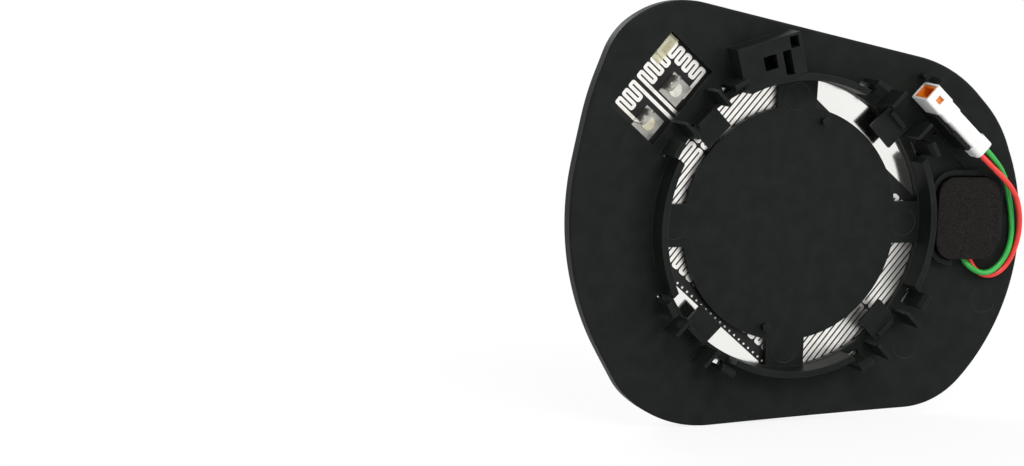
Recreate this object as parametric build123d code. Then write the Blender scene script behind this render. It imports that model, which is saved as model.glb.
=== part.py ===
from build123d import *
import os
from math import cos, hypot, radians, sin, sqrt, tan

os.makedirs("parts", exist_ok=True)

# All plan sizes are seen from behind: u to the right (-X), v up (+Z), heights towards +Y
# Outline of the border: corner points of the plan and the rounding of each corner
outline_corners = [
    (64.2, 59.3),
    (85.6, 38.3),
    (97.6, 9.1),
    (95.5, -26.5),
    (82.1, -52.1),
    (64.8, -70.4),
    (-48.8, -74.8),
    (-66.5, -59.8),
    (-94.0, -13.1),
    (-82.5, 47.2),
    (-73.9, 70.4),
    (-54.2, 83.1),
]
outline_rounds = [51.0, 46.5, 77.0, 81.0, 79.5, 33.5, 47.5, 24.5, 100.0, 99.5, 25.0, 35.0]

# Convex glass and the layers behind it
mirror_curve = 1250.0
glass_thick = 2.0
film_thick = 0.3
foil_thick = 0.12
plate_thick = 2.4

# Border lip that holds the glass
border_width = 2.6
lip_overlap = 1.1
lip_thick = 0.9
glass_edge_gap = 0.2
rear_edge_round = 0.8
front_edge_round = 0.5

# Actuator seat: disc, bridges and ring wall
disc_radius = 43.5
bridge_width = 15.6
window_radius = 53.4
ring_step = 0.2
ring_wall = 2.4
ring_height = 10.0
peg_places = [(10.7, 38.1), (-9.4, -37.9)]
peg_radius = 1.4
peg_height = 3.2
mark_depth = 0.15
mark_radius = 5.0
mark_places = [(0, 47), (-47, 0), (0, -47), (47, 0), (83, -30), (50.5, -47)]

# Clip stations on the diagonals of the ring
station_half = 17.8
ledge_reach = 7.4
ledge_width = 11.6
ledge_top = 5.0
ledge_thick = 1.5
stop_length = 7.8
stop_wall = 1.5
stop_top = 6.4
guard_offset = 8.25
guard_wall = 1.2
guard_reach = 6.0
clip_angle = 16.1
clip_length = 5.8
clip_reach = 2.7
clip_wall = 1.5
clip_top = 13.0
clip_nose = 1.2
nose_high = 3.2
slot_gap = 0.4

# Heater film: a band across the glass, laid on the slant
heater_slant = 50.0
film_low = -45.5
film_high = 41.0
film_edge = 6.0
track_width = 1.3
track_pitch = 1.9
track_round = 1.1
track_margin = 4.8
track_start = -60.0
row_mid = -2.4
feed_mid = -0.95
feed_spacing = 2.7
finger_long = 6.3
low_fingers = 5
high_fingers = 6
comb_strips = 8

# Heater terminals and their window in the plate
terminal_reach = 13.0
terminal_low_w = -9.5
terminal_high_w = 6.1
terminal_long = 9.2
terminal_wide = 9.0
terminal_thick = 0.4
blade_width = 6.3
blade_thick = 0.8
blade_height = 8.0
blade_point = 1.0
blade_hole = 0.8
rivet_radius = 2.6
rivet_head = 0.5
rivet_shank = 1.2
rivet_gap = 0.1
window_reach = (6.7, 29.0)
window_w = (-14.6, 20.0)
window_margin = 1.5

# Hollow bracket beside the ring
bracket_bearing = 104.9
bracket_reach = 6.9
bracket_turn = 16.6
bracket_long = 25.2
bracket_wide = 15.0
bracket_high = 9.0
bracket_wall = 1.6
bracket_hole = 5.4
bracket_hole_place = (-0.8, -0.5)
bracket_slot = 3.4
bracket_lug = 4.8
lug_pocket = (3.6, 4.4)
pocket_rim = 0.9

# Blind-spot lamp in its pocket
lamp_gap = 0.45
lamp_rise = 2.0
foam_size = (25.7, 31.3)
foam_thick = 1.2
foam_round = 7.0
housing_inset = 0.8
housing_high = 4.2
housing_wall = 1.2
housing_roof = 0.8
pocket_gap = 0.5
pocket_wall = 1.8
pocket_high = 3.2
outlet_width = 11.0
board_thick = 0.8
board_gap = 0.3
diode_size = (3.2, 2.8, 1.0)
diode_spacing = 6.4
resistor_size = (3.2, 1.6, 0.6)
resistor_place = (-6.0, 0.5)
light_place = (3.3, 8.7)
light_size = (12.0, 7.0)
light_round = 1.5
light_gap = 0.15

# Two-way connector and its holder
connector_bearing = 33.0
connector_reach = 16.5
connector_turn = -41.6
connector_long = 32.2
connector_wide = 6.0
connector_high = 8.0
connector_lift = 4.5
connector_round = 0.9
hood_long = 8.2
hood_extra = 0.85
hood_drop = 3.5
shoulder_long = 5.0
shoulder_extra = 0.4
collar_long = 5.0
collar_extra = 0.85
collar_round = 2.0
mouth_wall = 0.9
retainer_wall = 0.8
retainer_step = 0.3
retainer_floor = 2.0
fit_gap = 0.1
spy_size = 2.6
pin_spacing = 3.0
pin_size = 0.8
pin_reach = 5.0
seal_radius = 1.45
seal_long = 4.0
holder_wall = 1.3
holder_high = 7.0
fin_thick = 1.2
fin_high = 9.5
rib_high = 0.9

# Wires from the lamp to the connector: corner points of the run as (u, v, height over the plate)
wire_radius = 1.05
wire_tail = 4.6
wire_lead = 8.5
bend_share = 0.45
green_start = -1.0
green_run = [
    (71.6, -13.6, 1.3),
    (75.0, -17.8, 4.0),
    (80.4, -19.5, 4.0),
    (86.2, -17.2, 3.0),
    (90.6, -11.4, 2.4),
    (92.4, -4.4, 1.6),
    (91.8, 3.0, 1.3),
    (89.2, 11.4, 2.2),
    (84.6, 19.6, 5.4),
]
red_start = 2.4
red_run = [
    (74.5, -13.4, 1.3),
    (77.6, -18.2, 1.2),
    (82.2, -20.8, 1.2),
    (87.4, -19.9, 1.2),
    (91.6, -15.9, 1.3),
    (94.1, -9.8, 1.7),
    (94.9, -3.0, 2.6),
    (93.6, 4.4, 3.9),
    (90.2, 11.2, 5.8),
    (84.4, 17.0, 7.2),
]

# Radii of the curved layers, all about one centre behind the mirror
glass_back = mirror_curve - glass_thick
film_back = glass_back - film_thick
foil_back = film_back - foil_thick
plate_back = foil_back - plate_thick
lip_front = mirror_curve + lip_thick
centre = Vector(0, plate_back, 0)

# Places that follow the ring of the actuator seat
ring_inner = window_radius + ring_step
ring_outer = ring_inner + ring_wall
ledge_inner = ring_inner - ledge_reach
guard_outer = ring_outer + guard_reach
clip_inner = ring_outer + clip_reach
terminal_l = -(ring_outer + terminal_reach)
window_l = (-(ring_outer + window_reach[1]), -(ring_outer + window_reach[0]))
lamp_place = (ring_outer + lamp_gap + pocket_wall + pocket_gap + foam_size[0] / 2, lamp_rise)


def beside_ring(bearing, reach):
    return (ring_outer + reach) * cos(radians(bearing)), (ring_outer + reach) * sin(radians(bearing))


plan_reach = 1.2 * max(hypot(u, v) for u, v in outline_corners)
depth_reach = 2 * clip_top

REAR = Plane(origin=(0, 0, 0), x_dir=(-1, 0, 0), z_dir=(0, 1, 0))


def ball(radius):
    return Pos(*centre) * Sphere(radius)


def prism(shape):
    return extrude(REAR * Pos(0, 0, -depth_reach) * shape, amount=2 * depth_reach, dir=(0, 1, 0))


def layer(shape, back, front):
    return (prism(shape) & ball(front)) - ball(back)


def level(u, v):
    return plate_back - sqrt(plate_back**2 - u**2 - v**2)


def seat(u, v, turn=0.0):
    point = Vector(-u, level(u, v), v)
    along = (-cos(radians(turn)), 0, sin(radians(turn)))
    return Plane(origin=point, x_dir=along, z_dir=centre - point)


def block(x0, x1, y0, y1, z0, z1):
    return Pos((x0 + x1) / 2, (y0 + y1) / 2, (z0 + z1) / 2) * Box(x1 - x0, y1 - y0, z1 - z0)


def rod(x, y, radius, z0, z1):
    return Pos(x, y, (z0 + z1) / 2) * Cylinder(radius, z1 - z0)


def slab(size, corner, z0, z1):
    return extrude(Pos(0, 0, z0) * RectangleRounded(size[0], size[1], corner), amount=z1 - z0)


# Plan shapes
outline = make_face(FilletPolyline(*outline_corners, radius=outline_rounds, close=True))
glass_inset = border_width - lip_overlap
glass_plan = offset(outline, amount=-glass_inset)
pocket_plan = offset(outline, amount=-(glass_inset - glass_edge_gap))
sight_plan = offset(outline, amount=-border_width)
heater_turn = Rot(0, 0, heater_slant - 90)


def heater_rect(l0, l1, w0, w1):
    return heater_turn * Pos((l0 + l1) / 2, (w0 + w1) / 2) * Rectangle(l1 - l0, w1 - w0)


def heater_point(l, w):
    slant = radians(heater_slant)
    return l * sin(slant) + w * cos(slant), w * sin(slant) - l * cos(slant)


# Mirror glass
mirror_glass = layer(glass_plan, glass_back, mirror_curve)

# Heater film with the rivet holes
terminal_ws = [terminal_low_w, terminal_high_w]
rivet_holes = [heater_turn * Pos(terminal_l, w) * Circle(rivet_shank + rivet_gap) for w in terminal_ws]
film_plan = offset(outline, amount=-film_edge) & heater_rect(-plan_reach, plan_reach, film_low, film_high)
film_plan -= rivet_holes
heater_film = layer(film_plan, film_back, glass_back)


# Heater track: how far a strip may run before it meets the edge of the film
def strip_range(l, low, high):
    l_dir = heater_point(1, 0)
    w_dir = heater_point(0, 1)
    for i, a in enumerate(outline_corners):
        b = outline_corners[(i + 1) % len(outline_corners)]
        side = hypot(b[0] - a[0], b[1] - a[1])
        out = ((a[1] - b[1]) / side, (b[0] - a[0]) / side)
        room = out[0] * a[0] + out[1] * a[1] - film_edge - track_margin
        rate = out[0] * w_dir[0] + out[1] * w_dir[1]
        rest = room - l * (out[0] * l_dir[0] + out[1] * l_dir[1])
        if rate > 0:
            high = min(high, rest / rate)
        elif rate < 0:
            low = max(low, rest / rate)
    return low, high


# Heater track: one path from the lower terminal, down one side, back up the other, to the upper terminal
feed_low = feed_mid - feed_spacing / 2
feed_high = feed_mid + feed_spacing / 2
turn_low = row_mid - track_pitch / 2
turn_high = row_mid + track_pitch / 2
finger_left = window_l[0] + window_margin
finger_right = finger_left + finger_long
shortest_row = 2 * track_pitch
rows = []
at = track_start
while True:
    low, high = strip_range(at, film_low + track_margin, film_high - track_margin)
    if turn_low - low < shortest_row or high - turn_high < shortest_row:
        break
    rows.append((at, low, high))
    at += track_pitch
last = len(rows) // 2 * 2 - 1

path = [(terminal_l, feed_low - low_fingers * track_pitch)]
for i in range(low_fingers, 0, -1):
    end = finger_left if i % 2 == 1 else finger_right
    path += [(end, feed_low - i * track_pitch), (end, feed_low - (i - 1) * track_pitch)]
path.append((rows[0][0], feed_low))
for i in range(last):
    turn_w = max(rows[i][1], rows[i + 1][1]) if i % 2 == 0 else turn_low
    path += [(rows[i][0], turn_w), (rows[i + 1][0], turn_w)]
for i in range(last, 0, -1):
    turn_w = min(rows[i][2], rows[i - 1][2]) if i % 2 == 1 else turn_high
    path += [(rows[i][0], turn_w), (rows[i - 1][0], turn_w)]
path.append((rows[0][0], feed_high))
for i in range(high_fingers):
    end = finger_left if i % 2 == 0 else finger_right
    path += [(end, feed_high + i * track_pitch), (end, feed_high + (i + 1) * track_pitch)]
comb_top = window_w[1] - window_margin
comb_low = feed_high + (high_fingers + 1) * track_pitch
comb_right = terminal_l + terminal_long / 2
comb_left = comb_right - comb_strips * track_pitch
path += [(finger_left, feed_high + high_fingers * track_pitch), (finger_left, comb_top)]
for i in range(comb_strips):
    end = comb_top if i % 2 == 1 else comb_low
    if i == 0:
        path.append((comb_left, comb_top))
    path += [(comb_left + i * track_pitch, end), (comb_left + (i + 1) * track_pitch, end)]
path += [(comb_right, terminal_high_w), (terminal_l, terminal_high_w)]


# One side of the track: each corner of the path moved square to its two arms
def side_points(points, offset_by):
    made = []
    for i, point in enumerate(points):
        shift = [0, 0]
        for a, b in zip(points[max(i - 1, 0) : i + 1], points[max(i, 1) : i + 2]):
            size = hypot(b[0] - a[0], b[1] - a[1])
            shift[0] -= (b[1] - a[1]) / size
            shift[1] += (b[0] - a[0]) / size
        made.append((point[0] + offset_by * shift[0], point[1] + offset_by * shift[1]))
    return made


# Outer corners of the turns are round, inner ones sharp
def corner_rounds(points, side):
    made = [0]
    for a, b, c in zip(points, points[1:], points[2:]):
        turn = (b[0] - a[0]) * (c[1] - b[1]) - (b[1] - a[1]) * (c[0] - b[0])
        made.append(track_round if turn * side < 0 else 0)
    return made + [0]


# Face inside a loop of square corners, with an arc at each corner that has a round
def rounded_face(points, rounds):
    corners = [Vector(*p) for p in points]
    comes = []
    leaves = []
    for before, corner, after, r in zip(corners[-1:] + corners, corners, corners[1:] + corners[:1], rounds):
        comes.append((before - corner).normalized() * r)
        leaves.append((after - corner).normalized() * r)
    edges = []
    for i, corner in enumerate(corners):
        if rounds[i] > 0:
            middle = corner + (comes[i] + leaves[i]) * (1 - sqrt(1 / 2))
            edges.append(ThreePointArc(corner + comes[i], middle, corner + leaves[i]))
        edges.append(Line(corner + leaves[i], corners[i - len(corners) + 1] + comes[i - len(corners) + 1]))
    return make_face(edges)


def terminal_rect(w):
    half_l = terminal_long / 2
    half_w = terminal_wide / 2
    return heater_rect(terminal_l - half_l, terminal_l + half_l, w - half_w, w + half_w)


print("track", len(rows), "rows", len(path), "corners")
track_sides = side_points(path, track_width / 2) + side_points(path, -track_width / 2)[::-1]
track_rounds = corner_rounds(path, 1) + corner_rounds(path, -1)[::-1]
track_plan = heater_turn * rounded_face(track_sides, track_rounds)
track_plan += [terminal_rect(w) for w in terminal_ws]
track_plan -= rivet_holes
heater_track = layer(track_plan, foil_back, film_back)

# Heater terminals: a plate on the track with a standing blade, held by a rivet
terminals = []
rivets = []
terminal_back = foil_back - terminal_thick
for w, hole in zip(terminal_ws, rivet_holes):
    plate = layer(terminal_rect(w) - hole, terminal_back, foil_back)
    blade_l = terminal_l - terminal_long / 2 + blade_thick / 2
    foot = -plate_thick + terminal_thick / 2
    tip = foot + blade_height
    half_blade = blade_width / 2
    blade_side = Polyline(
        (-half_blade, foot),
        (half_blade, foot),
        (half_blade, tip - blade_point),
        (half_blade - blade_point, tip),
        (blade_point - half_blade, tip),
        (-half_blade, tip - blade_point),
        close=True,
    )
    blade_face = make_face(blade_side) - Pos(0, tip - half_blade) * Circle(blade_hole)
    blade = extrude(Plane.YZ.offset(-blade_thick / 2) * blade_face, amount=blade_thick)
    terminals.append(plate + seat(*heater_point(blade_l, w), heater_slant - 90) * blade)
    spot = heater_turn * Pos(terminal_l, w)
    head = layer(spot * Circle(rivet_radius), terminal_back - rivet_head, terminal_back)
    rivets.append(head + layer(spot * Circle(rivet_shank), terminal_back - rivet_head / 2, glass_back))

# Blind-spot lamp, built on the back of the plate at its place
lamp_seat = seat(*lamp_place)
housing_size = (foam_size[0] - 2 * housing_inset, foam_size[1] - 2 * housing_inset)
housing_round = foam_round - housing_inset
cavity_size = (housing_size[0] - 2 * housing_wall, housing_size[1] - 2 * housing_wall)
cavity_top = housing_high - housing_roof
board_low = cavity_top - board_thick
outlet_y = -housing_size[1] / 2
outlet_x = (green_start + red_start) / 2
housing = slab(housing_size, housing_round, -plate_thick, housing_high)
housing -= slab(cavity_size, housing_round - housing_wall, -2 * plate_thick, cavity_top)
housing -= block(
    outlet_x - outlet_width / 2,
    outlet_x + outlet_width / 2,
    outlet_y - housing_wall,
    outlet_y + 2 * housing_wall,
    -2 * plate_thick,
    board_low + fit_gap,
)
lamp_housing = (lamp_seat * housing) & ball(plate_back)
board_size = (cavity_size[0] - 2 * board_gap, cavity_size[1] - 2 * board_gap)
lamp_board = lamp_seat * slab(board_size, housing_round - housing_wall - board_gap, board_low, cavity_top)
diodes = [
    lamp_seat * Pos(light_place[0] + x, light_place[1], board_low - diode_size[2] / 2) * Box(*diode_size)
    for x in (-diode_spacing / 2, diode_spacing / 2)
]
lamp_resistor = lamp_seat * Pos(*resistor_place, board_low - resistor_size[2] / 2) * Box(*resistor_size)
light_spot = Pos(lamp_place[0] + light_place[0], lamp_place[1] + light_place[1])
light_plan = light_spot * RectangleRounded(light_size[0], light_size[1], light_round)
light_hole = offset(light_plan, amount=light_gap)
lamp_diffuser = layer(light_plan, plate_back, glass_back)
foam_pad = lamp_seat * slab(foam_size, foam_round, housing_high, housing_high + foam_thick)

# Connector shell, built on its own seat with its mouth towards -x: hood, body and rear collar
connector_seat = seat(*beside_ring(connector_bearing, connector_reach), connector_turn)
front_x = -connector_long / 2
rear_x = connector_long / 2
hood_end = front_x + hood_long
collar_from = rear_x - collar_long
mouth_end = hood_end - mouth_wall
hood_low = connector_lift - hood_drop
seal_from = rear_x - seal_long
half_wide = connector_wide / 2
connector_top = connector_lift + connector_high
pin_z = connector_lift + connector_high / 2
pin_ys = [-pin_spacing / 2, pin_spacing / 2]


def along_x(x0, x1, half_y, z0, z1, corner):
    return fillet(block(x0, x1, -half_y, half_y, z0, z1).edges().filter_by(Axis.X), corner)


collar_to = collar_from + collar_extra
shell = along_x(front_x, collar_to, half_wide, connector_lift, connector_top, connector_round)
shell += along_x(front_x, hood_end, half_wide + hood_extra, hood_low, connector_top, connector_round)
shoulder_to = hood_end + shoulder_long
shell += along_x(
    hood_end, shoulder_to, half_wide + shoulder_extra, connector_lift, connector_top, connector_round
)
collar_low = connector_lift - collar_extra
shell += along_x(collar_from, rear_x, half_wide + collar_extra, collar_low, connector_top, collar_round)
mouth_half = half_wide + hood_extra - mouth_wall
mouth_low = hood_low + mouth_wall
mouth_top = connector_top - mouth_wall
shell -= along_x(front_x - mouth_wall, mouth_end, mouth_half, mouth_low, mouth_top, connector_round / 2)
spy_x = front_x + hood_long / 2
half_spy = spy_size / 2
shell -= block(spy_x - half_spy, spy_x + half_spy, -half_spy, half_spy, pin_z, connector_top)

# Retainer in the mouth, then a pin, its bore and a seal for each wire
retainer_half = mouth_half - fit_gap
retainer_low = mouth_low + fit_gap
retainer_top = mouth_top - fit_gap
retainer = along_x(
    front_x + retainer_step, mouth_end, retainer_half, retainer_low, retainer_top, connector_round / 2
)
retainer -= along_x(
    front_x,
    mouth_end - retainer_floor,
    retainer_half - retainer_wall,
    retainer_low + retainer_wall,
    retainer_top - retainer_wall,
    connector_round / 4,
)
pins = []
seals = []
half_pin = pin_size / 2
half_bore = half_pin + fit_gap
for y in pin_ys:
    pin_from = mouth_end - pin_reach
    bore_sides = (y - half_bore, y + half_bore)
    bore = block(pin_from, seal_from + fit_gap, *bore_sides, pin_z - half_bore, pin_z + half_bore)
    pin = block(pin_from, seal_from, y - half_pin, y + half_pin, pin_z - half_pin, pin_z + half_pin)
    seal_axis = Pos(0, y, pin_z) * Rot(0, 90, 0)
    shell -= bore
    shell -= seal_axis * rod(0, 0, seal_radius, seal_from, rear_x + seal_long)
    retainer -= bore
    seal = rod(0, 0, seal_radius, seal_from, rear_x) - rod(0, 0, wire_radius, seal_from, rear_x)
    pins.append(connector_seat * pin)
    seals.append(connector_seat * seal_axis * seal)
connector_housing = connector_seat * shell
connector_retainer = connector_seat * retainer


# Wires: straight runs joined by arcs, each arc as wide as its two runs allow
def wire(name, start_x, run, pin_y):
    start = lamp_seat.from_local_coords(Vector(start_x, outlet_y + wire_tail, board_low - wire_radius))
    end = connector_seat.from_local_coords(Vector(seal_from, pin_y, pin_z))
    lead = connector_seat.from_local_coords(Vector(seal_from + wire_lead, pin_y, pin_z))
    points = [start] + [Vector(-u, level(u, v) + h, v) for u, v, h in run] + [lead, end]
    runs = [(b - a).length for a, b in zip(points, points[1:])]
    radii = []
    for i in range(1, len(points) - 1):
        half_turn = radians((points[i] - points[i - 1]).get_angle(points[i + 1] - points[i])) / 2
        radii.append(bend_share * min(runs[i - 1], runs[i]) / tan(half_turn))
    line = FilletPolyline(*points, radius=radii)
    print(name, "length", round(line.length, 1), "radii", [round(r, 1) for r in radii])
    print(name, "runs", [round(r, 1) for r in runs])
    print(name, "points", [tuple(round(c, 1) for c in p) for p in points])
    return sweep(Plane(origin=line @ 0, z_dir=line % 0) * Circle(wire_radius), path=line)


wire_green = wire("wire_green", green_start, green_run, pin_ys[1])
wire_red = wire("wire_red", red_start, red_run, pin_ys[0])


# Back plate: dished plate with rounded rims, hollowed for the glass and open in front of it
def rim(body, radius):
    return body.edges().filter_by(lambda e: abs((e @ 0.5 - centre).length - radius) < glass_edge_gap)


back_plate = layer(outline, plate_back, lip_front)
back_plate = fillet(rim(back_plate, plate_back), rear_edge_round)
back_plate = fillet(rim(back_plate, lip_front), front_edge_round)
back_plate -= layer(pocket_plan, foil_back, mirror_curve)
back_plate -= layer(sight_plan, glass_back, lip_front + lip_thick)

# Openings through the plate
windows = Circle(window_radius) - Circle(disc_radius)
windows -= Rectangle(bridge_width, 2 * ring_outer)
windows -= Rectangle(2 * ring_outer, bridge_width)
holes = [
    prism(windows),
    prism(heater_rect(*window_l, *window_w)),
    prism(light_hole),
]

# Ring wall of the actuator seat, open at the four clip stations
ring = rod(0, 0, ring_outer, 0, ring_height) - rod(0, 0, ring_inner, 0, ring_height)
ring_gap = block(ledge_inner, guard_outer, -station_half, station_half, 0, ring_height)

# One clip station along +x: shelf on its stop wall, two guard walls and two snap fingers with slots
half_stop = stop_length / 2
half_guard = guard_wall / 2
half_clip = clip_length / 2
stop_from = ring_outer - stop_wall
nose_low = clip_top - nose_high
nose_tip = clip_inner - clip_nose
nose = Polyline(
    (clip_inner, 0),
    (clip_inner, nose_low),
    (nose_tip, nose_low + nose_high / 3),
    (nose_tip, nose_low + nose_high / 2),
    (clip_inner, clip_top),
    (clip_inner + clip_wall, clip_top),
    (clip_inner + clip_wall, 0),
    close=True,
)
finger = extrude(Plane.XZ * make_face(nose), amount=half_clip, both=True)
half_slot = half_clip + slot_gap
slot = block(ring_outer + slot_gap, clip_inner, -half_slot, half_slot, -clip_top, clip_top)
station = [
    block(ledge_inner, ring_outer, -ledge_width / 2, ledge_width / 2, ledge_top - ledge_thick, ledge_top),
    block(stop_from, ring_outer, -half_stop, half_stop, 0, stop_top),
]
slots = []
for side in (-1, 1):
    guard_y = side * guard_offset
    station.append(block(stop_from, guard_outer, guard_y - half_guard, guard_y + half_guard, 0, clip_top))
    station.append(Rot(0, 0, side * clip_angle) * finger)
    slots.append(Rot(0, 0, side * clip_angle) * slot)

adds = []
for turn in (45, 135, 225, 315):
    ring -= Rot(0, 0, turn) * ring_gap
    adds += [REAR * Rot(0, 0, turn) * piece for piece in station]
    holes += [REAR * Rot(0, 0, turn) * piece for piece in slots]
adds.append(REAR * ring)
adds += [REAR * rod(u, v, peg_radius, 0, level(u, v) + peg_height) for u, v in peg_places]

# Hollow bracket beside the ring, with a square hole, a slot and a lug
half_long = bracket_long / 2
half_deep = bracket_wide / 2
half_hole = bracket_hole / 2
lug_x = half_long - bracket_lug
pocket_x = half_long - pocket_rim
pocket_y = half_deep - pocket_rim - lug_pocket[1]
bracket = block(-half_long, half_long, -half_deep, half_deep, -plate_thick / 2, bracket_high)
bracket -= block(
    bracket_wall - half_long,
    lug_x - bracket_slot - bracket_wall,
    bracket_wall - half_deep,
    half_deep - bracket_wall,
    0,
    bracket_high - bracket_wall,
)
hole_x, hole_y = bracket_hole_place
bracket -= block(
    hole_x - half_hole,
    hole_x + half_hole,
    hole_y - half_hole,
    hole_y + half_hole,
    bracket_wall,
    2 * bracket_high,
)
bracket -= block(lug_x - bracket_slot, lug_x, -bracket_wide, pocket_y, 0, 2 * bracket_high)
bracket -= block(
    pocket_x - lug_pocket[0],
    pocket_x,
    pocket_y,
    half_deep - pocket_rim,
    0,
    2 * bracket_high,
)
bracket = seat(*beside_ring(bracket_bearing, bracket_reach), bracket_turn) * bracket
adds.append(bracket - REAR * rod(0, 0, ring_inner + ring_wall / 2, -bracket_high, 2 * bracket_high))

# Pocket wall round the lamp, open where the wires leave
pocket_inner = (foam_size[0] + 2 * pocket_gap, foam_size[1] + 2 * pocket_gap)
pocket_outer = (pocket_inner[0] + 2 * pocket_wall, pocket_inner[1] + 2 * pocket_wall)
pocket_round = foam_round + pocket_gap
pocket = slab(pocket_outer, pocket_round + pocket_wall, -plate_thick / 2, pocket_high)
pocket -= slab(pocket_inner, pocket_round, -plate_thick, 2 * pocket_high)
pocket -= block(
    outlet_x - outlet_width / 2,
    pocket_outer[0],
    -pocket_outer[1],
    pocket_round - pocket_inner[1] / 2,
    -plate_thick,
    2 * pocket_high,
)
adds.append(lamp_seat * pocket)

# Connector holder: pad, side walls, a high and a low fin beside the hood and a low rib
wall_in = half_wide + shoulder_extra + fit_gap
wall_out = wall_in + holder_wall
wall_from = hood_end + fit_gap
wall_to = collar_from - fit_gap
wall_mid = (wall_from + wall_to) / 2
wall_top = connector_lift + holder_high
fin_y = half_wide + hood_extra + fit_gap
fin_foot = -plate_thick / 2
holder = block(wall_from, wall_to, -wall_out, wall_out, fin_foot, connector_lift)
holder += block(wall_mid, wall_to, -wall_out, -wall_in, 0, wall_top)
holder += block(wall_from, wall_to, -wall_out, -wall_in, 0, wall_top - holder_wall)
holder += block(wall_from, wall_mid, wall_in, wall_out, 0, wall_top - holder_wall)
fin_from = front_x + fin_thick
holder += block(fin_from, fin_from + fin_thick, fin_y, fin_y + 3 * fin_thick, fin_foot, fin_high)
low_fin = (front_x - 3 * fin_thick, front_x - fin_thick)
holder += block(*low_fin, fin_y, fin_y + fin_thick, fin_foot, connector_lift)
rib_y = wall_out + fin_thick
holder += block(wall_mid, rear_x + wire_tail, -rib_y - fin_thick, -rib_y, fin_foot, rib_high)
adds.append(connector_seat * holder)

for hole in holes:
    back_plate -= hole
back_plate = back_plate + adds

# Shallow round marks left by the mould
for u, v in mark_places:
    back_plate -= seat(u, v) * rod(0, 0, mark_radius, -mark_depth, peg_height)

pieces = {
    "back_plate": back_plate,
    "mirror_glass": mirror_glass,
    "heater_film": heater_film,
    "heater_track": heater_track,
    "terminal_lower": terminals[0],
    "terminal_upper": terminals[1],
    "rivet_lower": rivets[0],
    "rivet_upper": rivets[1],
    "lamp_housing": lamp_housing,
    "lamp_board": lamp_board,
    "lamp_diode_left": diodes[0],
    "lamp_diode_right": diodes[1],
    "lamp_resistor": lamp_resistor,
    "lamp_diffuser": lamp_diffuser,
    "foam_pad": foam_pad,
    "wire_green": wire_green,
    "wire_red": wire_red,
    "connector_housing": connector_housing,
    "connector_retainer": connector_retainer,
    "pin_green": pins[1],
    "pin_red": pins[0],
    "seal_green": seals[1],
    "seal_red": seals[0],
}
for name, piece in pieces.items():
    export_step(piece, f"parts/{name}.step")
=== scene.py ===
# %% [markdown]
# A car door mirror glass seen from behind: a black moulded back plate carries the convex mirror,
# a heater film shows through its windows, and a small lamp is wired to a white plug connector.
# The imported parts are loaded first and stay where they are. Lengths are in metres, apart from the
# routes of the wires and the sign on the glass, which are drawn in millimetres.

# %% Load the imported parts
import math

import bmesh
import bpy
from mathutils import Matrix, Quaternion, Vector, noise


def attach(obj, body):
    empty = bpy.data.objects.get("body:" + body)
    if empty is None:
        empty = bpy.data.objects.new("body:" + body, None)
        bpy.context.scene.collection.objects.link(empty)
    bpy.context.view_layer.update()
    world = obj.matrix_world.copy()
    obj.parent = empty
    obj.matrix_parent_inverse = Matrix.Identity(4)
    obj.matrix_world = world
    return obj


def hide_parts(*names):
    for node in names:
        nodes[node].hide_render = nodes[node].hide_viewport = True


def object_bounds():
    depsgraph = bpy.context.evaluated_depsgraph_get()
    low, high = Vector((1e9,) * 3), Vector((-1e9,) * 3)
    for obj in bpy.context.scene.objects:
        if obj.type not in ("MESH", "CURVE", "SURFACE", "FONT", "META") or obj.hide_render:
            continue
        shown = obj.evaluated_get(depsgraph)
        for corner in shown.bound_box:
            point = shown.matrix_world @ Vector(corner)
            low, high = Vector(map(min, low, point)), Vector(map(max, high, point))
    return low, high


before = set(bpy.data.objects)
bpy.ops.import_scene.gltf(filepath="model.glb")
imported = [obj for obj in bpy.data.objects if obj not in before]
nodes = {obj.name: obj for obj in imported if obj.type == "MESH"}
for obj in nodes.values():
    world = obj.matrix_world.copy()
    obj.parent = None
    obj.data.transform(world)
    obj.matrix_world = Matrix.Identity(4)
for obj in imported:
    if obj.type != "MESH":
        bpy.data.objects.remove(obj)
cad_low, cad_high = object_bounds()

MM = 0.001
print("parts:", len(nodes), "box:", [round(v, 4) for v in cad_high - cad_low])

# %% [markdown]
# Three small tools come first. One turns the usual hex colours into the linear values that a
# renderer works in, by the standard sRGB curve. One adds a shader or geometry node with its settings
# and links: nodes could be added line by line, but one call for each keeps a long tree readable.
# The last gives the scale of a pattern from its real size.

# %% Colour and node helpers
def linear(hex_colour):
    channels = [int(hex_colour[i : i + 2], 16) / 255 for i in (1, 3, 5)]
    return [c / 12.92 if c <= 0.04045 else ((c + 0.055) / 1.055) ** 2.4 for c in channels] + [1.0]


def add_node(tree, kind, settings=None, links=None):
    node = tree.nodes.new(kind)
    for name, value in (settings or {}).items():
        if isinstance(name, str) and hasattr(node, name):
            setattr(node, name, value)
        else:
            node.inputs[name].default_value = value
    for name, source in (links or {}).items():
        tree.links.new(source, node.inputs[name])
    return node


def per_metre(size):
    return 1 / size


print("mid grey #808080 in linear light:", round(linear("#808080")[0], 3))

# %% [markdown]
# The camera stands where the photographer stood: a little to the left of the part, slightly above
# it, and far enough away for a long lens. It is turned two degrees about its own axis. A tracking
# constraint could aim it, but a rotation worked out once from two places is easier to read.

# %% Camera
camera_place = Vector((0.3493, 0.6572, 0.0966))
camera_aim = Vector((0.0943, -0.0403, -0.0078))
camera_roll = math.radians(1.97)
sensor_width = 36.0
lens = 70.9

camera_data = bpy.data.cameras.new("camera")
camera_data.sensor_width = sensor_width
camera_data.lens = lens
camera = bpy.data.objects.new("camera", camera_data)
bpy.context.scene.collection.objects.link(camera)
camera.location = camera_place
camera.rotation_mode = "QUATERNION"
aim = (camera_aim - camera_place).to_track_quat("-Z", "Y")
camera.rotation_quaternion = aim @ Quaternion((0, 0, 1), camera_roll)
bpy.context.scene.camera = camera
print("camera distance:", round((camera_aim - camera_place).length, 3))

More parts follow.
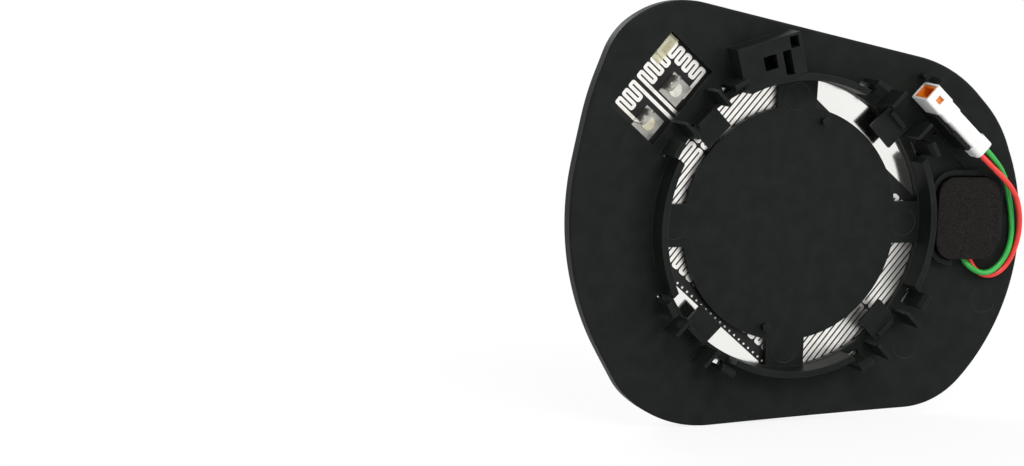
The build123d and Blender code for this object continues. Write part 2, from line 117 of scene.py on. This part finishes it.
# %% [markdown]
# Product pictures of black parts are taken in a white tent. A world that is white all round would be
# the simple way, but it floods black plastic with light. So the world is white only where the camera,
# a mirror or clear plastic looks at it, and dimmer as a light.

# %% White tent
fill_light = 0.55

scene = bpy.context.scene
scene.view_settings.view_transform = "Standard"

world = bpy.data.worlds.new("white_tent")
world.use_nodes = True
scene.world = world
tent = world.node_tree
seen = add_node(tent, "ShaderNodeLightPath")
direct = add_node(
    tent,
    "ShaderNodeMath",
    {"operation": "MAXIMUM"},
    {0: seen.outputs["Is Camera Ray"], 1: seen.outputs["Is Glossy Ray"]},
)
bright = add_node(
    tent,
    "ShaderNodeMath",
    {"operation": "MAXIMUM"},
    {0: direct.outputs[0], 1: seen.outputs["Is Transmission Ray"]},
)
strength = add_node(
    tent, "ShaderNodeMapRange", {"To Min": fill_light, "To Max": 1.0}, {"Value": bright.outputs[0]}
)
tent.links.new(strength.outputs[0], tent.nodes["Background"].inputs["Strength"])
tent.nodes["Background"].inputs["Color"].default_value = linear("#FFFFFF")
print("tent lights with", fill_light, "and looks white")

# %% [markdown]
# The floor is a sheet of white card. Plain white paint would turn grey under soft light, so the
# camera sees a mix of paint, which takes the shadow, and a white glow. The share of paint is small
# and fades away from the part, which leaves a faint shadow with a soft end.

# %% White card floor
shadow_share = 0.16
shadow_reach = 0.45
floor_size = 6.0
card_roughness = 0.9

# Matt white card: bright all over, with a breath of grey under the part.
floor_paint = bpy.data.materials.new("white_card")
floor_paint.use_nodes = True
card = floor_paint.node_tree
card_paint = card.nodes["Principled BSDF"]
card_paint.inputs["Base Color"].default_value = linear("#F4F4F4")
card_paint.inputs["Roughness"].default_value = card_roughness
card_glow = add_node(card, "ShaderNodeEmission", {"Color": linear("#FFFFFF"), "Strength": 1.0})
card_place = add_node(card, "ShaderNodeTexCoord").outputs["Object"]
card_away = add_node(card, "ShaderNodeVectorMath", {"operation": "LENGTH"}, {0: card_place})
card_white = add_node(
    card,
    "ShaderNodeMapRange",
    {"From Max": shadow_reach, "To Min": 1 - shadow_share, "To Max": 1.0},
    {"Value": card_away.outputs["Value"]},
)
card_seen = add_node(card, "ShaderNodeLightPath")
card_direct = add_node(
    card,
    "ShaderNodeMath",
    {"operation": "MAXIMUM"},
    {0: card_seen.outputs["Is Camera Ray"], 1: card_seen.outputs["Is Glossy Ray"]},
)
card_share = add_node(
    card, "ShaderNodeMath", {"operation": "MULTIPLY"}, {0: card_direct.outputs[0], 1: card_white.outputs[0]}
)
card_mix = add_node(
    card,
    "ShaderNodeMixShader",
    {},
    {0: card_share.outputs[0], 1: card_paint.outputs[0], 2: card_glow.outputs[0]},
)
card.links.new(card_mix.outputs[0], card.nodes["Material Output"].inputs["Surface"])

bpy.ops.mesh.primitive_plane_add(size=floor_size, location=(0, 0, cad_low.z))
floor = bpy.context.object
floor.name = "floor"
floor.data.materials.append(floor_paint)
print("floor at", round(cad_low.z, 4))

# %% [markdown]
# Three soft boxes light the part: a strong one high above the camera, a small one at the right, and
# one for the glass side. Spot lamps would give hard shadows in the clips, and large square lamps give
# the soft ones of a studio.

# %% Lamps
soft_boxes = (
    ("lamp_high", (0.05, 0.95, 0.90), 0.7, 9.0),
    ("lamp_right", (-0.85, 0.80, 0.35), 0.5, 4.0),
    ("lamp_front", (0.35, -1.0, 0.75), 0.8, 8.0),
)
for name, place, size, watts in soft_boxes:
    lamp_data = bpy.data.lights.new(name, "AREA")
    lamp_data.size = size
    lamp_data.energy = watts
    lamp = bpy.data.objects.new(name, lamp_data)
    scene.collection.objects.link(lamp)
    lamp.location = place
    lamp.rotation_mode = "QUATERNION"
    lamp.rotation_quaternion = (-Vector(place)).to_track_quat("-Z", "Y")
    print(name, "watts:", watts)

# %% [markdown]
# Every new piece of this scene is made in the same way: it becomes an object at the origin, rides
# on the one body of the part, and may take the place of a imported part. Curves and modifiers are
# turned into plain meshes first, because only meshes are handed over.

# %% Helpers for new pieces
def baked(piece):
    return bpy.data.meshes.new_from_object(piece.evaluated_get(bpy.context.evaluated_depsgraph_get()))


def add_piece(name, mesh, slot, *replaced):
    mesh.name = name
    piece = bpy.data.objects.new(name, mesh)
    scene.collection.objects.link(piece)
    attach(piece, "root")
    if replaced:
        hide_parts(*replaced)
    print(name, "faces:", len(mesh.polygons))
    return piece


# %% [markdown]
# Two thin wires run from the lamp round the side of the plate to the plug. Both are in sight nearly
# all the way, so their routes are a few corners listed in millimetres. A hanging curve
# could be worked out, but such short wires lie as they were pushed into place. Their lengths are
# those of the imported wires.

# %% Routes of the wires
wire_radius = 1.05 * MM
wire_routes = {
    "green": [
        (-70.5, 3.5, -8.3), (-71.6, 3.4, -13.6), (-75.0, 6.4, -17.8), (-80.4, 6.8, -19.5),
        (-86.2, 6.1, -17.2), (-90.6, 5.8, -11.4), (-92.4, 5.0, -4.4), (-91.8, 4.7, 3.0),
        (-89.2, 5.5, 11.4), (-84.6, 8.4, 19.6), (-76.8, 11.0, 26.6), (-70.4, 10.9, 32.3),
    ],
    "red": [
        (-73.9, 3.7, -8.3), (-74.5, 3.6, -13.4), (-77.6, 3.8, -18.2), (-82.2, 4.1, -20.8),
        (-87.4, 4.4, -19.9), (-91.6, 4.8, -15.9), (-94.1, 5.3, -9.8), (-94.9, 6.2, -3.0),
        (-93.6, 7.4, 4.4), (-90.2, 9.1, 11.2), (-84.4, 10.2, 17.0), (-74.8, 10.8, 24.4),
        (-68.4, 10.7, 30.1),
    ],
}
print("wire corners:", {colour: len(route) for colour, route in wire_routes.items()})

# %% [markdown]
# A chain of cylinders would show its joints, so each wire starts as one NURBS curve whose control
# points are the corners of its route. The curve is read once as a bare line, which is the path of
# the wire, and once with a round section as its sleeve.

# %% Draw the wires
curve_order = 3
steps_along = 10
steps_round = 5


def wire(colour):
    route = wire_routes[colour]
    curve = bpy.data.curves.new(f"wire_{colour}_line", "CURVE")
    curve.dimensions = "3D"
    curve.resolution_u = steps_along
    curve.bevel_resolution = steps_round
    curve.use_fill_caps = True
    line = curve.splines.new("NURBS")
    line.points.add(len(route) - 1)
    for point, place in zip(line.points, route):
        point.co = [c * MM for c in place] + [1.0]
    line.order_u = curve_order
    line.use_endpoint_u = True
    guide = bpy.data.objects.new(f"wire_{colour}_line", curve)
    scene.collection.objects.link(guide)
    path = [tuple(point.co) for point in baked(guide).vertices]
    curve.bevel_depth = wire_radius
    sleeve = baked(guide)
    bpy.data.objects.remove(guide)
    piece = add_piece(f"wire_{colour}_sleeve", sleeve, f"{colour}_wire", f"wire_{colour}")
    return piece


wires = {colour: wire(colour) for colour in wire_routes}

# %% [markdown]
# Sharp corners of a moulding catch the light as thin bright lines, and here that highlight is painted
# into the colour. It could be painted on the mesh, but a Bevel node finds the corners by itself: it
# gives a rounded normal, and where that differs from the true one, there is an edge.

# %% Recipe for painted edge highlights
edge_samples = 6
corner_starts, corner_full = 0.95, 0.75
strongest_edge_highlight = 0.8
mix_from, mix_to, mix_out = 6, 7, 2  # colour sockets of a Mix node


def painted_edge_highlights(tree, paint, edge, edge_highlight):
    soft = add_node(tree, "ShaderNodeBevel", {"samples": edge_samples, "Radius": edge}).outputs["Normal"]
    flat = add_node(tree, "ShaderNodeNewGeometry").outputs["Normal"]
    alike = add_node(tree, "ShaderNodeVectorMath", {"operation": "DOT_PRODUCT"}, {0: soft, 1: flat})
    # Painted highlight: the further the rounded normal turns from the true one, the paler the colour.
    highlight_mask = add_node(
        tree,
        "ShaderNodeMapRange",
        {"From Min": corner_starts, "From Max": corner_full, "To Max": strongest_edge_highlight},
        {"Value": alike.outputs["Value"]},
    )
    highlighted = add_node(
        tree,
        "ShaderNodeMix",
        {"data_type": "RGBA", mix_to: linear(edge_highlight)},
        {0: highlight_mask.outputs[0], mix_from: paint},
    )
    return highlighted.outputs[mix_out], soft


print("edges turn pale by", strongest_edge_highlight, "at most")

# %% [markdown]
# Nearly all of the part is moulded plastic, and no moulding has one even colour. Two near tones in
# soft clouds stop it from looking painted, the same clouds vary the gloss a little, and a fine bump
# is the grain of the mould. One recipe with other colours and sizes serves every plastic. Real grain
# is finer than a dot of the picture, so it is drawn 0.3 mm wide or more to show at all.

# %% Recipe for moulded plastics
cloud_detail = 4.0
cloud_band = (0.35, 0.65)
grain_detail = 2.0


def moulded(
    name,
    colour,
    shade,
    roughness,
    grain=0.5 * MM,
    depth=0.01 * MM,
    specular=0.5,
    cloud=6 * MM,
    spread=0.06,
    edge=0.0,
    edge_highlight="#FFFFFF",
):
    material = bpy.data.materials.new(name)
    material.use_nodes = True
    tree = material.node_tree
    place = add_node(tree, "ShaderNodeTexCoord").outputs["Object"]
    clouds = add_node(
        tree, "ShaderNodeTexNoise", {"Scale": per_metre(cloud), "Detail": cloud_detail}, {"Vector": place}
    )
    tint = add_node(tree, "ShaderNodeValToRGB", {}, {"Fac": clouds.outputs["Fac"]})
    for stop, position, tone in zip(tint.color_ramp.elements, cloud_band, (shade, colour)):
        stop.position = position
        stop.color = linear(tone)
    gloss = add_node(
        tree,
        "ShaderNodeMapRange",
        {"To Min": roughness - spread, "To Max": roughness + spread},
        {"Value": clouds.outputs["Fac"]},
    )
    grains = add_node(
        tree, "ShaderNodeTexNoise", {"Scale": per_metre(grain), "Detail": grain_detail}, {"Vector": place}
    )
    bump = add_node(
        tree, "ShaderNodeBump", {"Distance": depth, "Strength": 1.0}, {"Height": grains.outputs["Fac"]}
    )
    paint = tint.outputs["Color"]
    # With an edge radius, a painted highlight makes the colour paler along sharp corners.
    if edge > 0:
        paint, soft = painted_edge_highlights(tree, paint, edge, edge_highlight)
        tree.links.new(soft, bump.inputs["Normal"])
    shader = tree.nodes["Principled BSDF"]
    shader.inputs["Specular IOR Level"].default_value = specular
    tree.links.new(paint, shader.inputs["Base Color"])
    tree.links.new(gloss.outputs[0], shader.inputs["Roughness"])
    tree.links.new(bump.outputs["Normal"], shader.inputs["Normal"])
    print("finish:", name)
    return material


# %% [markdown]
# The plate is black ABS from a spark-eroded mould, the plug and its retainer are nylon, the wires
# have sleeves of soft PVC, and the wire seals are silicone. Their colours are matched to the picture,
# and their gloss starts from what such plastics usually have.

# %% Plastics of the plate, the plug and the wires
# Grained ABS: nearly black with no mirror image, and a painted highlight as a pale line along each sharp
# corner.
black_abs = moulded(
    "black_abs",
    "#1E211F",
    "#1A1D1B",
    roughness=0.42,
    depth=0.02 * MM,
    specular=0.04,
    edge=0.22 * MM,
    edge_highlight="#505351",
)
# White nylon: clean and milky with a soft gloss, and a painted highlight a little brighter along its
# corners.
white_nylon = moulded(
    "white_nylon",
    "#E8E8E6",
    "#DFDFDD",
    roughness=0.38,
    grain=0.4 * MM,
    edge=0.3 * MM,
    edge_highlight="#EEEEEC",
)
# Orange nylon: warm and bright, so that the retainer glows in the mouth of the plug.
orange_nylon = moulded("orange_nylon", "#EE8726", "#DE6C1A", roughness=0.35, grain=0.4 * MM)
# Soft PVC: strong colour with one narrow bright line along the wire.
green_pvc = moulded("green_pvc", "#22A43C", "#1C9234", roughness=0.3, grain=0.8 * MM)
red_pvc = moulded("red_pvc", "#E13228", "#D02820", roughness=0.3, grain=0.8 * MM)
# Silicone: the same orange family as the retainer, but duller and greyer.
orange_silicone = moulded("orange_silicone", "#D87B30", "#CC6C28", roughness=0.5)

# %% [markdown]
# The small lamp behind the plate is a tiny board in a plain black box. It hardly shows, and its parts
# still get their own finishes, because someone may lift the foam or look in from the glass side.

# %% Plastics of the lamp
# Plain ABS: black and half matt, with no painted edge highlight, as the foam covers it.
lamp_abs = moulded("lamp_abs", "#161616", "#101010", roughness=0.5, depth=0.02 * MM, specular=0.14)
# Solder mask: dark green lacquer with a wet gloss.
green_solder_mask = moulded("green_solder_mask", "#1F6B35", "#195A2C", roughness=0.3, grain=0.6 * MM)
# Phosphor resin: the pale yellow of a white diode that is switched off.
phosphor_resin = moulded("yellow_phosphor_resin", "#E8DC90", "#E0D078", roughness=0.3, grain=0.4 * MM)
# Ceramic coat: a small black block with a dull shine.
ceramic_coat = moulded("black_ceramic_coat", "#202022", "#18181A", roughness=0.45, grain=0.3 * MM)
# Frosted polycarbonate: pale and even, so that it hides the diodes behind it.
polycarbonate = moulded("frosted_polycarbonate", "#E2E2E0", "#D8D8D6", roughness=0.35)

# %% [markdown]
# Film, ink and etched lines have hardly any depth, so their bump is half as deep as that of a
# moulding. The film is dark, and that makes the bright foil on it easy to see. The edge of the glass
# is ground, which leaves it as rough as a moulding.

# %% Film, ink and glass edges
print_depth = 0.005 * MM
# Heater film: a smooth dark sheet with a weak gloss.
heater_ink = moulded(
    "dark_heater_film",
    "#1E1D1D",
    "#181717",
    roughness=0.33,
    grain=0.6 * MM,
    depth=print_depth,
    specular=0.2,
)
# Screen ink: chalky white, without gloss.
white_ink = moulded(
    "white_screen_ink", "#E4E4E0", "#DADAD6", roughness=0.6, grain=0.3 * MM, depth=print_depth
)
# Etched glass: a matt grey line that breaks the mirror image.
frosted_line = moulded(
    "frosted_glass_line", "#626462", "#585A58", roughness=0.7, grain=0.3 * MM, depth=print_depth
)
# Ground glass: a grey-green matt band round the edge of the mirror.
ground_edge = moulded("ground_glass_edge", "#9AA5A0", "#8E9994", roughness=0.55, grain=0.3 * MM)

# %% [markdown]
# The metals are sheet and foil: the heater track is etched aluminium foil, and the terminals are
# tinned brass held by rivets. The mirror itself is glass with a chrome coat on its back, which throws
# back about half of the light. Glass over chrome could be two layers, but a thin clear layer only
# adds noise, so its front is one polished metal. All of them are the plastic recipe made metallic.

# %% Metals and mirror
def metal(name, colour, shade, cloud=2 * MM, **surface):
    material = moulded(name, colour, shade, cloud=cloud, **surface)
    material.node_tree.nodes["Principled BSDF"].inputs["Metallic"].default_value = 1.0
    return material


# Etched foil: pale and dull, as kitchen foil is on its matt side.
etched_foil = metal("etched_aluminium_foil", "#F0EEEA", "#E6E4DF", roughness=0.38, grain=0.4 * MM)
# Tinned brass: grey metal with a soft shine.
tinned_brass = metal("tinned_brass", "#B2B1AB", "#A09F99", roughness=0.3, grain=0.3 * MM)
# Rivet heads: pressed and slightly uneven, one white like nickel and one with a tone of brass.
rivet_surface = {"roughness": 0.32, "grain": 0.3 * MM, "depth": 0.02 * MM}
nickel_rivet = metal("nickel_rivet", "#E2DFD6", "#CDCAC0", **rivet_surface)
brass_rivet = metal("brass_rivet", "#DAD4BC", "#C8C2A8", **rivet_surface)
# Chrome behind glass: a clear image, a little dim, in tones that drift slowly over the mirror.
mirror_front = metal(
    "chrome_mirror_behind_glass",
    "#C2C4C2",
    "#B4B6B0",
    cloud=140 * MM,
    roughness=0.03,
    spread=0.01,
    depth=0.0,
)
# The bare chrome coat from behind: bright white patches in the windows, with a soft image.
mirror_back = metal(
    "bright_chrome_coat", "#F4F4F1", "#EEEEEA", cloud=30 * MM, roughness=0.12, spread=0.02, depth=0.0
)

# %% [markdown]
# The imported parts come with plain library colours. Each that is kept as it is gets its finish by its
# name, so the list also says what every part is made of. A part that is remade below gets its finish
# there. The two wires are new pieces already, and get theirs here.

# %% Dress the parts
finishes = {
    "back_plate": black_abs,
    "terminal_lower": tinned_brass,
    "terminal_upper": tinned_brass,
    "rivet_lower": brass_rivet,
    "rivet_upper": nickel_rivet,
    "lamp_housing": lamp_abs,
    "lamp_board": green_solder_mask,
    "lamp_diode_left": phosphor_resin,
    "lamp_diode_right": phosphor_resin,
    "lamp_resistor": ceramic_coat,
    "lamp_diffuser": polycarbonate,
    "connector_housing": white_nylon,
    "connector_retainer": orange_nylon,
    "pin_green": tinned_brass,
    "pin_red": tinned_brass,
    "seal_green": orange_silicone,
    "seal_red": orange_silicone,
}
for name, finish in finishes.items():
    nodes[name].data.materials.clear()
    nodes[name].data.materials.append(finish)
wires["green"].data.materials.append(green_pvc)
wires["red"].data.materials.append(red_pvc)
print("dressed parts:", len(finishes), "wires:", len(wires))

# %% [markdown]
# The glass, the heater film, its foil track and the plate lie on each other as the skins of an onion
# do: all are layers of very large balls about one centre behind the part. Each radius could be
# written down, but the radius of the glass and four thicknesses give them all.

# %% Sizes of the layers
glass_front = 1250 * MM
glass_thick = 2 * MM
film_thick = 0.30 * MM
foil_thick = 0.12 * MM
plate_thick = 2.4 * MM
film_back = glass_front - glass_thick - film_thick
foil_back = film_back - foil_thick
ball_centre = Vector((0, foil_back - plate_thick, 0))
print("layers: film back", round(film_back, 5), "foil back", round(foil_back, 5))

# %% [markdown]
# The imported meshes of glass, film and track have few faces, so a coarse film could cut through the
# foil on it. A subdivision modifier would round their outlines, so each layer is copied instead,
# its long edges are divided, and every point is put back on its own ball. Front, back and edge then
# get finishes of their own.

# %% Fine curved layers
longest_edge = 6 * MM
dividing_rounds = 3
weld = 0.002 * MM
front_share, back_share = 0.9, 0.1
front_slot, back_slot, edge_slot = range(3)


def fine_layer(node, slot, front_finish, back_finish, edge_finish):
    shape = bmesh.new()
    shape.from_mesh(nodes[node].data)
    bmesh.ops.remove_doubles(shape, verts=shape.verts, dist=weld)
    reach = [(v.co - ball_centre).length for v in shape.verts]
    back, front = min(reach), max(reach)
    depth = shape.verts.layers.float.new("depth")
    for point, length in zip(shape.verts, reach):
        point[depth] = (length - back) / (front - back)
    for _ in range(dividing_rounds):
        long_edges = [e for e in shape.edges if e.calc_length() > longest_edge]
        bmesh.ops.subdivide_edges(shape, edges=long_edges, cuts=1)
        bmesh.ops.triangulate(shape, faces=[f for f in shape.faces if len(f.verts) > 3])
    for point in shape.verts:
        away = (point.co - ball_centre).normalized()
        point.co = ball_centre + away * (back + (front - back) * point[depth])
    for face in shape.faces:
        depths = [v[depth] for v in face.verts]
        on_front, on_back = min(depths) > front_share, max(depths) < back_share
        face.material_index = front_slot if on_front else back_slot if on_back else edge_slot
        face.smooth = on_front or on_back
    for edge in shape.edges:
        edge.smooth = len({f.material_index for f in edge.link_faces}) == 1
    mesh = bpy.data.meshes.new(f"{node}_fine")
    shape.to_mesh(mesh)
    shape.free()
    for finish in (front_finish, back_finish, edge_finish):
        mesh.materials.append(finish)
    add_piece(f"{node}_fine", mesh, slot, node)


fine_layer("mirror_glass", "silvered_glass", mirror_front, mirror_back, ground_edge)
fine_layer("heater_film", "heater_film", heater_ink, heater_ink, heater_ink)
fine_layer("heater_track", "heater_foil", etched_foil, etched_foil, etched_foil)

# %% [markdown]
# Prints, tape and sign lie on those curved layers. The heater is drawn on a slant, so one helper turns
# a place along and across that slant into a place on the plan, seen from behind. The other lifts a
# place on the plan to a ball of the given radius. A projection modifier could do it, but a formula is
# exact.

# %% Places on the layers
heater_slant = math.radians(50)


def heater_place(along, across):
    u = along * math.sin(heater_slant) + across * math.cos(heater_slant)
    v = across * math.sin(heater_slant) - along * math.cos(heater_slant)
    return u, v


def on_ball(u, v, reach):
    return Vector((-u, ball_centre.y - math.sqrt(reach**2 - u**2 - v**2), v))


print("back of the film at its middle:", round(on_ball(0, 0, film_back).y, 5))

# %% [markdown]
# A row of small white dots is printed along one edge of the heater film. They could be painted by a
# material, but printed ink has a little thickness and a sharp edge. A row is a thing that repeats,
# so a Geometry Nodes tree makes it, and its sizes are the inputs of that tree.

# %% Sizes of the printed dots
ink_gap = 0.01 * MM
ink_thick = 0.04 * MM
dot_count = 42
dot_spacing = 2.6 * MM
dot_radius = 0.43 * MM
dot_sides = 14
row_from, row_to, row_across = -64 * MM, 44 * MM, -44.5 * MM

row_start = on_ball(*heater_place(row_from, row_across), film_back)
row_end = on_ball(*heater_place(row_to, row_across), film_back)
dot_sizes = {
    "Start": ("NodeSocketVector", row_start),
    "Direction": ("NodeSocketVector", (row_end - row_start).normalized()),
    "Count": ("NodeSocketInt", dot_count),
    "Spacing": ("NodeSocketFloat", dot_spacing),
    "Dot Radius": ("NodeSocketFloat", dot_radius),
    "Dot Height": ("NodeSocketFloat", ink_thick),
    "Ball Centre": ("NodeSocketVector", ball_centre),
    "Ball Radius": ("NodeSocketFloat", film_back - ink_thick / 2 - ink_gap),
}
print("row of dots:", round((dot_count - 1) * dot_spacing, 4), "long")

# %% [markdown]
# The first half of the tree makes the points. A mesh line takes equal steps from the start of the
# row, and it is straight, so each point is then moved to its place on the ball: the arm from the
# centre keeps its direction and gets the length of the radius.

# %% Line of points on the ball
tree = bpy.data.node_groups.new("printed_dots", "GeometryNodeTree")
tree.interface.new_socket("Geometry", in_out="OUTPUT", socket_type="NodeSocketGeometry")
keys = {
    name: tree.interface.new_socket(name, in_out="INPUT", socket_type=kind).identifier
    for name, (kind, _) in dot_sizes.items()
}
given = add_node(tree, "NodeGroupInput").outputs
step = add_node(
    tree, "ShaderNodeVectorMath", {"operation": "SCALE"}, {0: given["Direction"], "Scale": given["Spacing"]}
)
row = add_node(
    tree,
    "GeometryNodeMeshLine",
    {"mode": "OFFSET"},
    {"Count": given["Count"], "Start Location": given["Start"], "Offset": step.outputs[0]},
)
spot = add_node(tree, "GeometryNodeInputPosition").outputs[0]
out = add_node(tree, "ShaderNodeVectorMath", {"operation": "SUBTRACT"}, {0: spot, 1: given["Ball Centre"]})
unit = add_node(tree, "ShaderNodeVectorMath", {"operation": "NORMALIZE"}, {0: out.outputs[0]})
arm = add_node(
    tree,
    "ShaderNodeVectorMath",
    {"operation": "SCALE"},
    {0: unit.outputs[0], "Scale": given["Ball Radius"]},
)
place = add_node(
    tree, "ShaderNodeVectorMath", {"operation": "ADD"}, {0: arm.outputs[0], 1: given["Ball Centre"]}
)
curved = add_node(
    tree, "GeometryNodeSetPosition", {}, {"Geometry": row.outputs["Mesh"], "Position": place.outputs[0]}
)
print("inputs of the tree:", list(keys))

# %% [markdown]
# The second half sets a dot on every point: a very flat cylinder whose axis points at the centre of
# the ball. The dots are made real and get their ink. The tree is then run once on an empty mesh, and
# the result is kept as a plain mesh, because instances are not handed over.

# %% A dot on every point
inward = add_node(
    tree, "ShaderNodeVectorMath", {"operation": "SUBTRACT"}, {0: given["Ball Centre"], 1: spot}
)
facing = add_node(tree, "FunctionNodeAlignRotationToVector", {"axis": "Z"}, {"Vector": inward.outputs[0]})
dot = add_node(
    tree,
    "GeometryNodeMeshCylinder",
    {"fill_type": "NGON", "Vertices": dot_sides},
    {"Radius": given["Dot Radius"], "Depth": given["Dot Height"]},
)
dots = add_node(
    tree,
    "GeometryNodeInstanceOnPoints",
    {},
    {"Points": curved.outputs[0], "Instance": dot.outputs["Mesh"], "Rotation": facing.outputs[0]},
)
real = add_node(tree, "GeometryNodeRealizeInstances", {}, {"Geometry": dots.outputs[0]})
inked = add_node(tree, "GeometryNodeSetMaterial", {"Material": white_ink}, {"Geometry": real.outputs[0]})
add_node(tree, "NodeGroupOutput", {}, {"Geometry": inked.outputs[0]})

printer = bpy.data.objects.new("printer", bpy.data.meshes.new("printer"))
scene.collection.objects.link(printer)
modifier = printer.modifiers.new("printed_dots", "NODES")
modifier.node_group = tree
for name, (_, value) in dot_sizes.items():
    modifier[keys[name]] = value
dot_mesh = baked(printer)
bpy.data.objects.remove(printer)
add_piece("printed_dots", dot_mesh, "heater_foil")

# %% [markdown]
# A bit of clear tape, yellowed a little, covers one corner of the heater track inside its window. It
# is a thin sheet with one lifted end. Cloth could be laid on the foil, but tape is stiff, so a flat
# grid is put on the ball of the foil, curled at one end by a formula and made as thick as tape.

# %% Tape over the track
tape_lift = 0.06 * MM
tape_curl = 0.5 * MM
curl_power = 3
tape_thick = 0.05 * MM
tape_along = (-84.8 * MM, -80.2 * MM)
tape_across = (8.5 * MM, 19.6 * MM)
tape_steps = (12, 8)
tape_alpha = 0.38

# Old clear tape: a weak yellow veil over the foil, with a bright gloss.
clear_tape = moulded(
    "clear_yellowed_tape", "#DCD8B4", "#D2CDA4", roughness=0.25, grain=1.5 * MM, depth=0.03 * MM
)
clear_tape.node_tree.nodes["Principled BSDF"].inputs["Alpha"].default_value = tape_alpha
shape = bmesh.new()
bmesh.ops.create_grid(shape, x_segments=tape_steps[0], y_segments=tape_steps[1], size=0.5)
for point in shape.verts:
    share = 0.5 + point.co.x
    along = tape_along[0] + (tape_along[1] - tape_along[0]) * share
    across = tape_across[0] + (tape_across[1] - tape_across[0]) * (0.5 + point.co.y)
    lift = tape_lift + tape_curl * share**curl_power
    point.co = on_ball(*heater_place(along, across), foil_back - lift)
bmesh.ops.solidify(shape, geom=shape.faces, thickness=tape_thick)
bmesh.ops.recalc_face_normals(shape, faces=shape.faces)
tape_mesh = bpy.data.meshes.new("clear_tape")
shape.to_mesh(tape_mesh)
shape.free()
tape_mesh.materials.append(clear_tape)
add_piece("clear_tape", tape_mesh, "lamp_diffuser")

# %% [markdown]
# On the glass side a small warning sign is etched: two cars seen from above and three waves between
# them. Its lines are drawn on the plan in millimetres, from round corners and straight sides, so a
# few sizes give the whole sign.

# %% Lines of the sign
near_u, near_v, near_wide, near_long = 72.0, 16.6, 6.3, 14.0
far_u, far_half, far_foot, far_shoulder = 81.0, 3.3, 6.9, 12.3
body_corner, pane_corner, pane_wide = 1.7, 0.7, 4.2
panes = ((near_u, 19.4, 2.6), (near_u, 13.2, 2.2), (far_u, 10.4, 2.4))
wave_place, wave_turn, wave_radii = (79.6, 14.6), (110, 190), (1.4, 2.6, 3.8)
arc_steps = 6


def arc(u, v, radius, start, stop):
    turns = [math.radians(start + (stop - start) * i / arc_steps) for i in range(arc_steps + 1)]
    return [(u + radius * math.cos(t), v + radius * math.sin(t)) for t in turns]


def rounded_box(u, v, wide, high, corner):
    a, b = wide / 2 - corner, high / 2 - corner
    return (
        arc(u + a, v + b, corner, 0, 90)
        + arc(u - a, v + b, corner, 90, 180)
        + arc(u - a, v - b, corner, 180, 270)
        + arc(u + a, v - b, corner, 270, 360)
    )


far_front = (
    [(far_u + far_half, far_foot)]
    + arc(far_u + far_half - body_corner, far_shoulder, body_corner, 0, 90)
    + arc(far_u - far_half + body_corner, far_shoulder, body_corner, 90, 180)
    + [(far_u - far_half, far_foot)]
)
closed_lines = [rounded_box(near_u, near_v, near_wide, near_long, body_corner)]
closed_lines += [rounded_box(u, v, pane_wide, high, pane_corner) for u, v, high in panes]
open_lines = [far_front] + [arc(*wave_place, radius, *wave_turn) for radius in wave_radii]
print("lines of the sign:", len(closed_lines) + len(open_lines))

# %% [markdown]
# Etched lines are flat and matt. A picture of the sign could be laid on the glass, but real strips
# stay sharp at any distance. Each line gets a point at either side of every corner, and the strip
# between them lies just on the ball of the glass.

# %% Etch the sign
sign_gap = 0.03 * MM
sign_reach = glass_front + sign_gap
line_half = 0.17 * MM
line_thick = 0.02 * MM


def etch(shape, line, closed):
    sides = []
    for i, (u, v) in enumerate(line):
        before = line[i - 1] if closed or i > 0 else line[i]
        after = line[(i + 1) % len(line)] if closed or i < len(line) - 1 else line[i]
        across = Vector((before[1] - after[1], after[0] - before[0])).normalized() * line_half
        pair = [(u * MM + s * across.x, v * MM + s * across.y) for s in (-1, 1)]
        sides.append([shape.verts.new(on_ball(*place, sign_reach)) for place in pair])
    for a, b in zip(sides, sides[1:] + sides[:1] if closed else sides[1:]):
        shape.faces.new((a[0], a[1], b[1], b[0]))


shape = bmesh.new()
for line in closed_lines:
    etch(shape, line, closed=True)
for line in open_lines:
    etch(shape, line, closed=False)
shape.normal_update()
for face in shape.faces:
    if face.normal.y > 0:
        face.normal_flip()
bmesh.ops.solidify(shape, geom=shape.faces, thickness=line_thick)
bmesh.ops.recalc_face_normals(shape, faces=shape.faces)
sign_mesh = bpy.data.meshes.new("etched_sign")
shape.to_mesh(sign_mesh)
shape.free()
sign_mesh.materials.append(frosted_line)
add_piece("etched_sign", sign_mesh, "silvered_glass")

# %% [markdown]
# The lamp is covered by a soft pad of black foam that keeps it from rattling against the mirror
# housing. It is a die-cut sheet, too stiff to sag, so no cloth is simulated: its mesh is remade in
# fine even faces, its edges are softened, and its points are pushed in here and there as open cells.

# %% Foam pad
foam_voxel = 0.3 * MM
foam_rounds = 6
foam_cell = 0.9 * MM
foam_rough = 0.10 * MM

# Open-cell foam: black without any shine; its darker tone, in clouds as small as the cells, is painted
# shade in the tiny pits.
black_foam = moulded(
    "black_foam",
    "#242221",
    "#131211",
    roughness=0.95,
    grain=0.7 * MM,
    depth=0.25 * MM,
    specular=0.1,
    cloud=0.7 * MM,
)
pad = bpy.data.objects.new("pad", nodes["foam_pad"].data.copy())
scene.collection.objects.link(pad)
shape = bmesh.new()
shape.from_mesh(pad.data)
bmesh.ops.remove_doubles(shape, verts=shape.verts, dist=weld)
shape.to_mesh(pad.data)
shape.free()
remesh = pad.modifiers.new("even_faces", "REMESH")
remesh.mode = "VOXEL"
remesh.voxel_size = foam_voxel
smooth = pad.modifiers.new("soft_edges", "SMOOTH")
smooth.iterations = foam_rounds
foam_mesh = baked(pad)
bpy.data.objects.remove(pad)
for point, normal in zip(foam_mesh.vertices, [v.normal.copy() for v in foam_mesh.vertices]):
    point.co -= normal * foam_rough * abs(noise.noise(point.co * per_metre(foam_cell)))
foam_mesh.materials.clear()
foam_mesh.materials.append(black_foam)
foam = add_piece("foam_cover", foam_mesh, "black_foam", "foam_pad")
